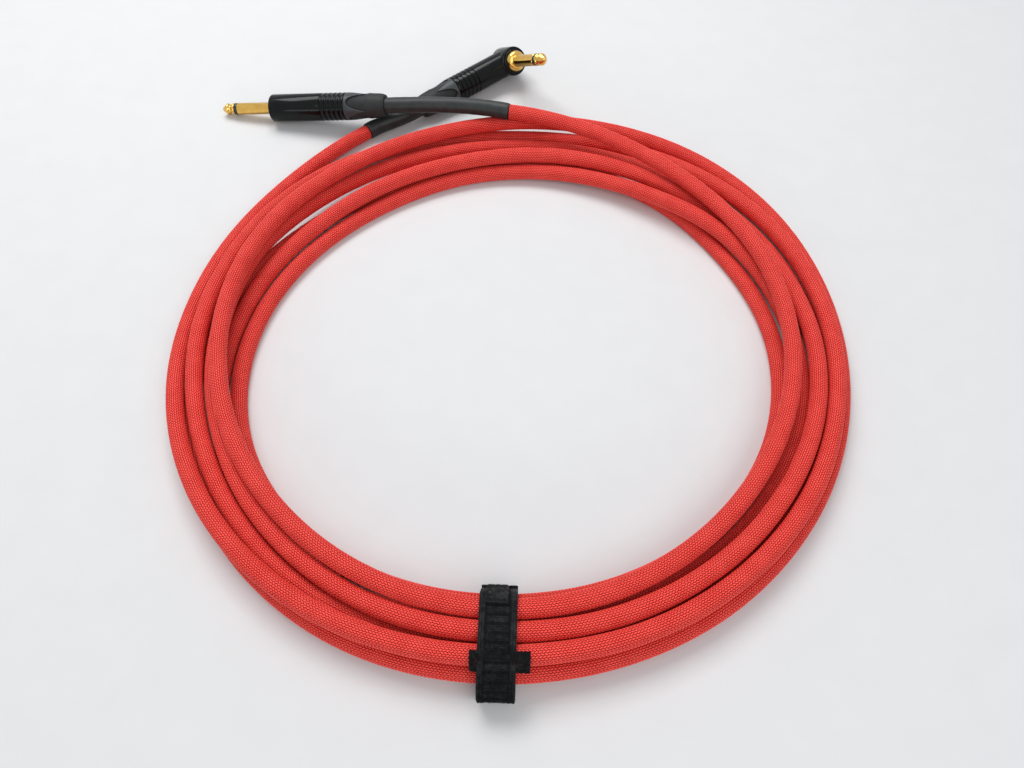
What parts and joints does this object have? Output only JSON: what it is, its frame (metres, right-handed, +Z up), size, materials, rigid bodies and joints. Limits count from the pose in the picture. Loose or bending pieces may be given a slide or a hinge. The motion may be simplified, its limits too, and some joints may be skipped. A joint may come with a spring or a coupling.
{
  "type": "instrument cable",
  "caption": "Red braided instrument cable in a round coil, with a straight and a right-angle quarter-inch plug and a slotted hook-and-loop tie.",
  "frame": {"origin": "bottom centre of the whole part's box, on the floor", "axes": "+Z up from the floor, +X to the viewer's right, +Y away from the viewer"},
  "size_m": [0.3138, 0.3632, 0.0344],
  "materials": {
    "red_braid": "woven braid",
    "gold_plate": "polished plating",
    "gloss_black": "gloss",
    "soft_black": "satin",
    "collar_grey": "satin",
    "heat_shrink": "matte",
    "black_plastic": "satin",
    "grey_plastic": "satin",
    "strap_black": "hook-and-loop",
    "tinned_brass": "tinned",
    "copper_braid": "twisted strands",
    "wire_white": "satin"
  },
  "bodies": {
    "lead": {"sleeve_coil": "red_braid", "tip_contact_straight": "gold_plate", "tip_insulator_straight": "black_plastic", "sleeve_contact_straight": "gold_plate", "rear_insulator_straight": "black_plastic", "tip_lug_straight": "tinned_brass", "ground_lug_straight": "tinned_brass", "core_wire_straight": "wire_white", "shield_tail_straight": "copper_braid", "cable_jacket_straight": "soft_black", "heat_shrink_straight": "heat_shrink", "tip_contact_angle": "gold_plate", "tip_insulator_angle": "black_plastic", "sleeve_contact_angle": "gold_plate", "rear_insulator_angle": "black_plastic", "tip_lug_angle": "tinned_brass", "ground_lug_angle": "tinned_brass", "core_wire_angle": "wire_white", "shield_tail_angle": "copper_braid", "cable_jacket_angle": "soft_black", "heat_shrink_angle": "heat_shrink", "shell_straight": "gloss_black", "housing_angle": "gloss_black", "face_ring_angle": "gloss_black", "tie_band": "strap_black", "tie_head": "strap_black"},
    "straight_chuck": {"chuck_straight": "grey_plastic"},
    "straight_boot": {"boot_collar_straight": "collar_grey", "boot_sleeve_straight": "soft_black"},
    "angle_chuck": {"chuck_angle": "grey_plastic"},
    "angle_boot": {"boot_collar_angle": "collar_grey", "boot_sleeve_angle": "soft_black"},
    "tie_end": {"tie_tab": "strap_black"}
  },
  "joints": [
    {"name": "straight_chuck_slide", "type": "slide", "parent": "lead", "child": "straight_chuck", "axis": [0.9817, -0.1347, 0.1347], "range_m": [0, 0.004]},
    {"name": "straight_boot_turn", "type": "hinge", "parent": "straight_chuck", "child": "straight_boot", "pos_m": [-0.08488, 0.12885, 0.01332], "axis": [0.9817, -0.1347, 0.1347], "range_deg": [0, 1440]},
    {"name": "angle_chuck_slide", "type": "slide", "parent": "lead", "child": "angle_chuck", "axis": [-0.7993, -0.598, -0.0601], "range_m": [0, 0.004]},
    {"name": "angle_boot_turn", "type": "hinge", "parent": "angle_chuck", "child": "angle_boot", "pos_m": [-0.02731, 0.1492, 0.00825], "axis": [-0.7993, -0.598, -0.0601], "range_deg": [0, 1440]},
    {"name": "tie_peel", "type": "hinge", "parent": "lead", "child": "tie_end", "pos_m": [-0.0001, -0.13863, 0.00792], "axis": [-0.9996, 0.0297, 0], "range_deg": [0, 100]}
  ],
  "couplings": [
    {"joint": "straight_chuck_slide", "follows": "straight_boot_turn", "m_per_rad": 0.0001591},
    {"joint": "angle_chuck_slide", "follows": "angle_boot_turn", "m_per_rad": 0.0001591}
  ]
}
